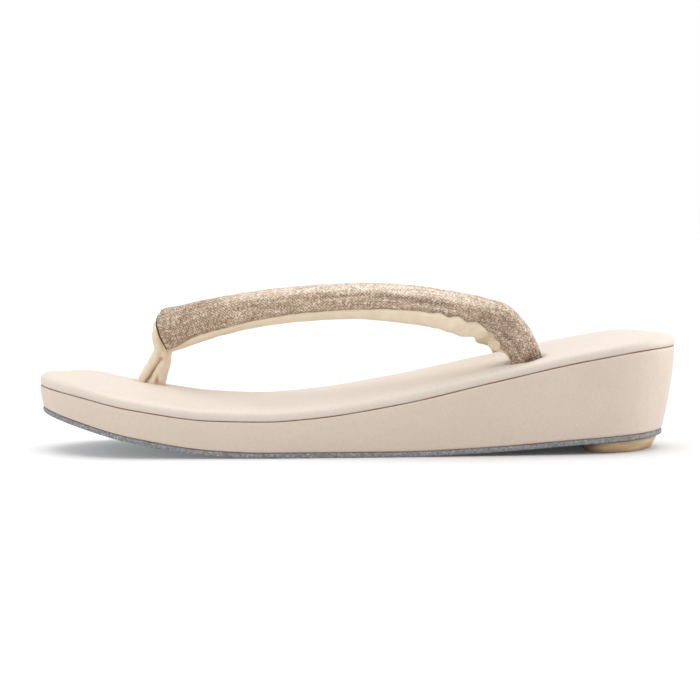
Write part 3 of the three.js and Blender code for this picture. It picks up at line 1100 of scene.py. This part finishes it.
class StrapShape:
    """Points, faces and weave coordinates of the strap's two branches, in millimetres."""

    stations = 440
    cloth_columns = 64
    lining_columns = 40
    nose_rings = 8
    nose_rim = 2  # the dark rim starts at this ring: folded cloth edge with painted shade between cloth and lip; the lining closes the end inside it
    nose_fade = 9.0  # the cut of the nose end fades out over this length
    nose_power = 2.6
    nose_least = 0.62  # size of the nose's last ring
    nose_stop = 0.4  # the last ring lies this share of a step before the tip
    closing = 0.3  # width of cloth left for the last column
    # Painted shade in the troughs, along the cloth's edges and at the foot, and a painted highlight along
    # the top.
    full_shade = 0.8  # a trough this deep is at its darkest
    step = 0.0005  # share of the branch each way when its direction is measured
    groove = 0.42  # half width of the groove where cloth meets lining
    hem, hem_width = 1.3, 0.9  # the folded cloth edge: its place and half width
    hem_shade, hem_shade_width = 0.30, 1.6
    pale_turn, pale_width, paleness = 60, 33, 0.55  # the pale band along the top
    scallops, scallop_pitch = 4.2, 0.92  # degrees round the oval, and radians for each mm
    wander, wander_size = 1.5, 5
    puff_size, fine_size, fine_share = 7.0, 2.2, 0.35
    pull_height, pull_long, pull_round = 0.22, 9.0, 13.0  # mm along, degrees round
    ripple_height, ripple_pitch, ripple_twist = 0.15, 1.15, 0.06
    ripple_size, ripple_wander = 6.0, 4
    foot_shade = 0.45
    fold_long, fold_wide = 2.5, 2.8  # a fold ends at so many of its half sizes
    # Where these fade in or out, in mm from the nose.
    scallops_in, scallops_out = (98, 112), (146, 134)
    pull_in, ripple_in, shade_in = (108, 136), (90, 116), (145, 149)
    pale_in, pale_out = (14, 46), (150, 100)
    relief_out = (156, 151)

    def __init__(self, sizes):
        self.groove_depth = sizes.seam_groove / MM
        self.hem_height = sizes.cloth_edge / MM
        self.puff_height = sizes.cloth_wave / MM
        self.points, self.faces, self.slots, self.uvs, self.painted_shades = [], [], [], [], []
        for side in (1, -1):
            self.measure(side)
            self.branch(side)

    def measure(self, side):
        """Centre line of a branch and the length along it at each station."""
        self.rows = [{**row, "index": i} for i, row in enumerate(BRANCH)]
        sagging = 0 if side > 0 else 1
        self.path = [Vector((row["x"], row["side"], row["up"] - sagging * row["sag"])) for row in BRANCH]
        places = [centripetal(self.path, i / self.stations) for i in range(self.stations + 1)]
        self.lengths = [0.0]
        for before, after in zip(places, places[1:]):
            self.lengths.append(self.lengths[-1] + (after - before).length)

    def section(self, share):
        """Centre, forward, long and short axes of the oval, and its half sizes."""
        centre = centripetal(self.path, share)
        ahead = centripetal(self.path, min(share + self.step, 1.0))
        behind = centripetal(self.path, max(share - self.step, 0.0))
        along = (ahead - behind).normalized()
        upright = (Vector((0, 0, 1)) - along * along.z).normalized()
        outward = along.cross(upright)
        index = share * (len(BRANCH) - 1)
        lean, tall, thick = (
            look_up(self.rows, "index", key, index) for key in ("lean", "tall", "thick")
        )
        lean = math.radians(lean)
        high = upright * math.cos(lean) - outward * math.sin(lean)
        out = outward * math.cos(lean) + upright * math.sin(lean)
        return centre, along, high, out, tall / 2, thick / 2

    def loop(self, station, ahead, scale):
        """One loop of points round the branch, cloth columns first, then lining columns."""
        share = station / self.stations
        centre, along, high, out, tall, thick = self.section(share)
        distance = self.lengths[station]
        outer, inner = (look_up(CLOTH_EDGES, "at", key, distance) for key in ("outer", "inner"))
        outer += self.scallop(distance)
        turns = [inner + (outer - inner) * k / self.cloth_columns for k in range(self.cloth_columns)]
        rest = 360 - (outer - inner)
        turns += [outer + rest * k / self.lining_columns for k in range(self.lining_columns)]
        points, arcs, depths = [], [0.0], []
        for turn in turns:
            angle = math.radians(turn)
            c, s = math.cos(angle), math.sin(angle)
            up = math.copysign(abs(c) ** OVAL_POWER, c) * tall
            over = math.copysign(abs(s) ** OVAL_POWER, s) * thick
            outward = (high * (c / tall) + out * (s / thick)).normalized()
            cut = look_up(NOSE_CUT, "up", "back", up) * smoothstep(self.nose_fade, 0, distance)
            point = centre + along * (ahead + cut) + (high * up + out * over) * scale
            relief_and_highlight, depth = self.relief(distance, turn, tall, thick, outer, inner)
            point += outward * relief_and_highlight * scale
            depths.append(depth)
            if points:
                arcs.append(arcs[-1] + (point - points[-1]).length)
            points.append(point)
        return points, arcs, distance + ahead, depths

    def scallop(self, distance):
        """The cloth edge is uneven, and pulled into small scallops where the strap bends down."""
        amount = smoothstep(*self.scallops_in, distance) * smoothstep(*self.scallops_out, distance)
        drift = self.wander * noise.noise(Vector((distance / self.wander_size, 0, 3)))
        return self.scallops * amount * math.sin(distance * self.scallop_pitch) + drift

    def relief(self, distance, turn, tall, thick, outer, inner):
        """How far the surface stands out from the plain oval, and the painted shade there; below zero, a
        painted highlight.
        """
        per_degree = math.hypot(tall, thick) / math.sqrt(2) * math.pi / 180
        folds = [self.fold(fold, distance, turn, per_degree) for fold in STRAP_FOLDS]
        total = sum(folds)
        # Painted shade: the deeper a trough, the darker.
        depth = -sum(min(fold, 0.0) for fold in folds) / self.full_shade
        wrapped = turn if turn <= 270 else turn - 360
        on_cloth = inner <= wrapped <= outer
        for edge in (outer, inner):
            off = abs((wrapped - edge + 180) % 360 - 180) * per_degree
            total -= self.groove_depth * bell(off, self.groove)
            if on_cloth:
                total += self.hem_height * bell(off - self.hem, self.hem_width)
                # Painted shade on the cloth along its edges, where it turns under.
                depth += self.hem_shade * bell(off, self.hem_shade_width)
        angle = math.radians(turn)
        place = Vector((distance, math.cos(angle) * tall, math.sin(angle) * thick))
        fine = self.fine_share * noise.noise(place / self.fine_size)
        total += self.puff_height * (noise.noise(place / self.puff_size) + fine)
        pull = self.pull_height * smoothstep(*self.pull_in, distance)
        total += pull * noise.noise(Vector((distance / self.pull_long, turn / self.pull_round, 1.0)))
        if not on_cloth:
            drift = noise.noise(place / self.ripple_size) * self.ripple_wander
            ripple = math.sin(distance * self.ripple_pitch + turn * self.ripple_twist + drift)
            total += self.ripple_height * smoothstep(*self.ripple_in, distance) * ripple
        # Painted shade near the foot, where the strap goes down into the footbed.
        depth += self.foot_shade * smoothstep(*self.shade_in, distance)
        # Painted highlight: a paler band along the top of the strap.
        pale = self.paleness * smoothstep(*self.pale_in, distance) * smoothstep(*self.pale_out, distance)
        depth -= pale * bell(wrapped - self.pale_turn, self.pale_width)
        return total * smoothstep(*self.relief_out, distance), min(max(depth, -0.5), 1.0)

    def fold(self, fold, distance, turn, per_degree):
        """Height of one trough or ridge at a place on the strap."""
        off = distance - fold["at"]
        if abs(off) > self.fold_long * fold["along"]:
            return 0.0
        turned = (turn - fold["turn"] + 180) % 360 - 180
        across = turned * per_degree - off * fold["slant"]
        if abs(across) > self.fold_wide * fold["across"]:
            return 0.0
        return -fold["depth"] * bell(off, fold["along"]) * bell(across, fold["across"])

    def branch(self, side):
        """Adds one branch; the right one mirrors the left one."""
        count = self.cloth_columns + self.lining_columns
        loops = []
        for i in range(self.nose_rings, 0, -1):
            ahead = math.sin(math.pi / 2 * i / (self.nose_rings + self.nose_stop))
            scale = (1 - ahead**self.nose_power) ** (1 / self.nose_power)
            least = self.nose_least
            loops.append(self.loop(0, -NOSE_ROUND * ahead, least + (1 - least) * scale))
        loops += [self.loop(i, 0.0, 1.0) for i in range(self.stations + 1)]
        base = len(self.points)
        for loop, _, _, depths in loops:
            self.points += [Vector((p.x, p.y * side, p.z)) for p in loop]
            self.painted_shades += depths
        for r in range(len(loops) - 1):
            (_, arcs, along, _), (_, next_arcs, next_along, _) = loops[r], loops[r + 1]
            for k in range(count):
                n = (k + 1) % count
                a, b = base + r * count + k, base + r * count + n
                end = arcs[n] if n else arcs[k] + self.closing
                next_end = next_arcs[n] if n else next_arcs[k] + self.closing
                corners = [
                    (a, (along, arcs[k])), (b, (along, end)),
                    (b + count, (next_along, next_end)), (a + count, (next_along, next_arcs[k])),
                ]
                self.add_face(corners, side)
                self.slots.append(self.finish_at(r, k))
        for r, first in ((0, True), (len(loops) - 1, False)):
            loop, arcs, along, _ = loops[r]
            hub = sum(loop, Vector()) / count
            self.points.append(Vector((hub.x, hub.y * side, hub.z)))
            self.painted_shades.append(0.0)
            for k in range(count):
                n = (k + 1) % count
                edge = [(base + r * count + k, (along, arcs[k])), (base + r * count + n, (along, arcs[n]))]
                if first:
                    edge.reverse()
                self.add_face([*edge, (len(self.points) - 1, (along, 0.0))], side)
                self.slots.append(1)

    def finish_at(self, r, k):
        """0 for cloth, 1 for lining, 2 for the dark rim round the nose: its folded cloth edge with painted
        shade between cloth and lip.
        """
        if k >= self.cloth_columns or r < self.nose_rim:
            return 1
        return 2 if r < self.nose_rings - 1 else 0

    def add_face(self, corners, side):
        """Adds a face with its weave coordinates, turned over on the mirrored side."""
        if side < 0:
            corners = corners[::-1]
        self.faces.append(tuple(index for index, _ in corners))
        self.uvs += [(u * MM, v * MM) for _, (u, v) in corners]


class ZORI_OT_strap(bpy.types.Operator):
    """Add the stuffed strap: two branches in ribbed cloth with a cotton lining, sewn at the nose"""

    bl_idname = "zori.strap"
    bl_label = "Strap"

    def execute(self, context):
        colours = context.scene.zori_colours
        strap = StrapShape(context.scene.zori_sizes)
        finishes = [
            # The lining takes a light painted shade in its folds.
            cloth_finish(colours), cotton_finish("lining_cotton", colours, 0.25),
            # The nose rim is the raw edge darkened to a quarter: painted shade between the cloth and the
            # lip, over the cloth's folded edge.
            raw_edge_finish(colours, "nose_rim", 0.25),
        ]
        piece = make_piece(
            "strap_branches", strap.points, strap.faces, finishes, strap.slots, strap.uvs, strap.painted_shades,
        )
        ride(piece, "cloth", "strap")
        return {"FINISHED"}


# ---- toe post ----


class ZORI_OT_toe_post(bpy.types.Operator):
    """Add the soft toe post: two fused lobes with creases and a lip up the front of the nose"""

    bl_idname = "zori.toe_post"
    bl_label = "Toe post"

    levels = 30
    around = 32
    crease_width = 0.36
    crease_depth = 0.65
    crease_slope = 0.83  # distance across the crease for a distance along x
    crease_out = (35.2, 33.6)  # heights over which it ends under the nose
    pleats, pleat_depth, pleat_size, pleat_wander = 7, 0.20, 5.0, 3
    pull_low, pull_zone = 0.35, (33, 25)  # pleats are fainter above the zone
    lump_size, lump_height = 2.4, 0.34
    side_in = (0.6, 1.6)  # distance from the middle over which the crease fades in
    end_zone, end_close = 1.2, 0.5  # a lobe narrows by this share at its top

    def execute(self, context):
        points, faces = [], []
        for rows in POST_LOBES.values():
            self.lobe(rows, points, faces)
        # Strong painted shade in the post's crease and pits.
        finish = cotton_finish("post_cotton", context.scene.zori_colours, 0.8)
        raw = make_piece("toe_post_lobes", points, faces, [finish])
        piece = self.fuse(raw, context.scene.zori_sizes.post_voxel)
        ride(piece, "lining", "toe_post")
        return {"FINISHED"}

    def lobe(self, rows, points, faces):
        """Adds one lobe: stacked ovals, closed below and above."""
        base = len(points)
        low, high = rows[0]["up"], rows[-1]["up"]
        for i in range(self.levels + 1):
            up = low + (high - low) * i / self.levels
            x, deep, wide = (look_up(rows, "up", key, up) for key in ("x", "deep", "wide"))
            close = 1 - self.end_close * smoothstep(high - self.end_zone, high, up)
            for k in range(self.around):
                turn = 2 * math.pi * k / self.around
                points.append(Vector((
                    x + deep / 2 * close * math.cos(turn), wide / 2 * close * math.sin(turn), up,
                )))
        for face in band_faces(self.around, self.levels + 1):
            faces.append(tuple(base + index for index in face))
        top = base + self.levels * self.around
        faces.append(tuple(range(base + self.around - 1, base - 1, -1)))
        faces.append(tuple(range(top, top + self.around)))

    def fuse(self, raw, voxel):
        """Melts the lobes into one soft band, then creases it."""
        remesh = raw.modifiers.new("Fuse", "REMESH")
        remesh.mode = "VOXEL"
        remesh.voxel_size = voxel
        remesh.use_smooth_shade = True
        smooth = raw.modifiers.new("Soften", "SMOOTH")
        smooth.factor = 0.5
        smooth.iterations = 4
        piece = plain_mesh(raw, "toe_post_band")
        painted_shades = []
        for vertex in piece.data.vertices:
            moved, depth = self.crease(vertex.co / MM)
            vertex.co = moved * MM
            painted_shades.append(depth)
        store_painted_shades(piece.data, painted_shades)
        piece.data.update()
        return piece

    def crease(self, point):
        """Pleats, the crease and the pits of the cotton, and how deep in them a point lies, kept as
        painted shade.
        """
        middle = look_up(POST_LOBES["rear"], "up", "x", point.z)
        outward = (point - Vector((middle, 0, point.z))).normalized()
        across = math.atan2(point.y, point.x - middle)
        pull = self.pull_low + (1 - self.pull_low) * smoothstep(*self.pull_zone, point.z)
        drift = noise.noise(point / self.pleat_size) * self.pleat_wander
        pleat = math.sin(across * self.pleats + drift) * self.pleat_depth * pull
        wave = noise.noise(point / self.lump_size) * self.lump_height
        off = self.crease_slope * (point.x - look_up(POST_CREASE, "up", "x", point.z))
        cut = bell(off, self.crease_width) * smoothstep(*self.crease_out, point.z)
        for pit in POST_PITS:
            reach = math.hypot((point.x - pit["x"]) / pit["long"], (point.z - pit["up"]) / pit["tall"])
            cut = max(cut, pit["depth"] * bell(reach, 1))
        cut *= smoothstep(*self.side_in, abs(point.y))
        inward = Vector((0, math.copysign(1, point.y), 0)) * self.crease_depth * cut
        return point + outward * (pleat + wave) - inward, cut


# ---- studio ----


class ZORI_OT_stage(bpy.types.Operator):
    """Add the pale floor, the soft lights, the surround and the camera"""

    bl_idname = "zori.stage"
    bl_label = "Stage"

    floor_half = 12.0
    softbox_size = 0.4
    softboxes = (  # name, place, what it is aimed at, and its power in the studio settings
        ("heel_softbox", (-0.75, -0.15, 0.22), (-0.1, 0, 0.03), "heel_light"),
        ("toe_softbox", (0.70, 0.30, 0.26), (0.1, 0, 0.02), "toe_light"),
    )

    def execute(self, context):
        scene, studio = context.scene, context.scene.zori_studio
        half = self.floor_half
        mesh = bpy.data.meshes.new("studio_floor")
        corners = [(-half, -half, 0), (half, -half, 0), (half, half, 0), (-half, half, 0)]
        mesh.from_pydata(corners, [], [(0, 1, 2, 3)])
        mesh.materials.append(floor_finish(scene.zori_colours, studio.floor_glow))
        add_object("studio_floor", mesh)
        overhead = bpy.data.lights.new("overhead_light", "SUN")
        overhead.energy = studio.overhead
        overhead.angle = studio.overhead_spread
        add_object("overhead_light", overhead)
        for name, place, target, power in self.softboxes:
            light = bpy.data.lights.new(name, "AREA")
            light.shape = "SQUARE"
            light.size = self.softbox_size
            light.energy = getattr(studio, power)
            self.aim(add_object(name, light), Vector(place), Vector(target) - Vector(place))
        world = bpy.data.worlds.new("studio_surround")
        world.use_nodes = True
        background = world.node_tree.nodes["Background"]
        background.inputs["Color"].default_value = (1, 1, 1, 1)
        background.inputs["Strength"].default_value = studio.sky
        scene.world = world
        scene.view_settings.view_transform = "Standard"
        scene.view_settings.look = "None"
        self.camera(scene, studio)
        return {"FINISHED"}

    def aim(self, thing, place, look):
        """Puts a lamp or the camera at a place and turns it to look along a direction."""
        thing.location = place
        thing.rotation_euler = look.to_track_quat("-Z", "Y").to_euler()

    def camera(self, scene, studio):
        towards = Vector((math.sin(studio.turn), math.cos(studio.turn), 0))
        aside = Vector((math.cos(studio.turn), -math.sin(studio.turn), 0))
        lens = bpy.data.cameras.new("studio_camera")
        lens.lens = studio.lens
        lens.sensor_width = 36.0
        lens.clip_start = 0.01
        lens.clip_end = 50.0
        camera = add_object("studio_camera", lens)
        place = towards * studio.distance + aside * studio.offset + Vector((0, 0, studio.height))
        look = -towards * math.cos(studio.pitch) - Vector((0, 0, math.sin(studio.pitch)))
        self.aim(camera, place, look)
        scene.camera = camera


# ---- panel and registration ----

OPERATORS = (
    ZORI_OT_stage,
    ZORI_OT_outsole,
    ZORI_OT_heel_lift,
    ZORI_OT_platform,
    ZORI_OT_edge_lines,
    ZORI_OT_footbed,
    ZORI_OT_strap,
    ZORI_OT_toe_post,
)


class ZORI_PT_panel(bpy.types.Panel):
    """Lists the sandal's pieces and their settings"""

    bl_idname = "ZORI_PT_panel"
    bl_label = "Zori Sandal"
    bl_space_type = "VIEW_3D"
    bl_region_type = "UI"
    bl_category = "Zori"

    def draw(self, context):
        for operator in OPERATORS:
            self.layout.operator(operator.bl_idname)
        for name in ("zori_sizes", "zori_colours", "zori_studio"):
            box = self.layout.box()
            group = getattr(context.scene, name)
            for key in group.__annotations__:
                box.prop(group, key)


CLASSES = (ZoriSizes, ZoriColours, ZoriStudio, *OPERATORS, ZORI_PT_panel)


def register():
    for cls in CLASSES:
        bpy.utils.register_class(cls)
    bpy.types.Scene.zori_sizes = bpy.props.PointerProperty(type=ZoriSizes)
    bpy.types.Scene.zori_colours = bpy.props.PointerProperty(type=ZoriColours)
    bpy.types.Scene.zori_studio = bpy.props.PointerProperty(type=ZoriStudio)


def unregister():
    del bpy.types.Scene.zori_sizes
    del bpy.types.Scene.zori_colours
    del bpy.types.Scene.zori_studio
    for cls in reversed(CLASSES):
        bpy.utils.unregister_class(cls)


def main():
    register()
    for operator in OPERATORS:
        group, name = operator.bl_idname.split(".")
        getattr(getattr(bpy.ops, group), name)()


if __name__ == "__main__":
    main()
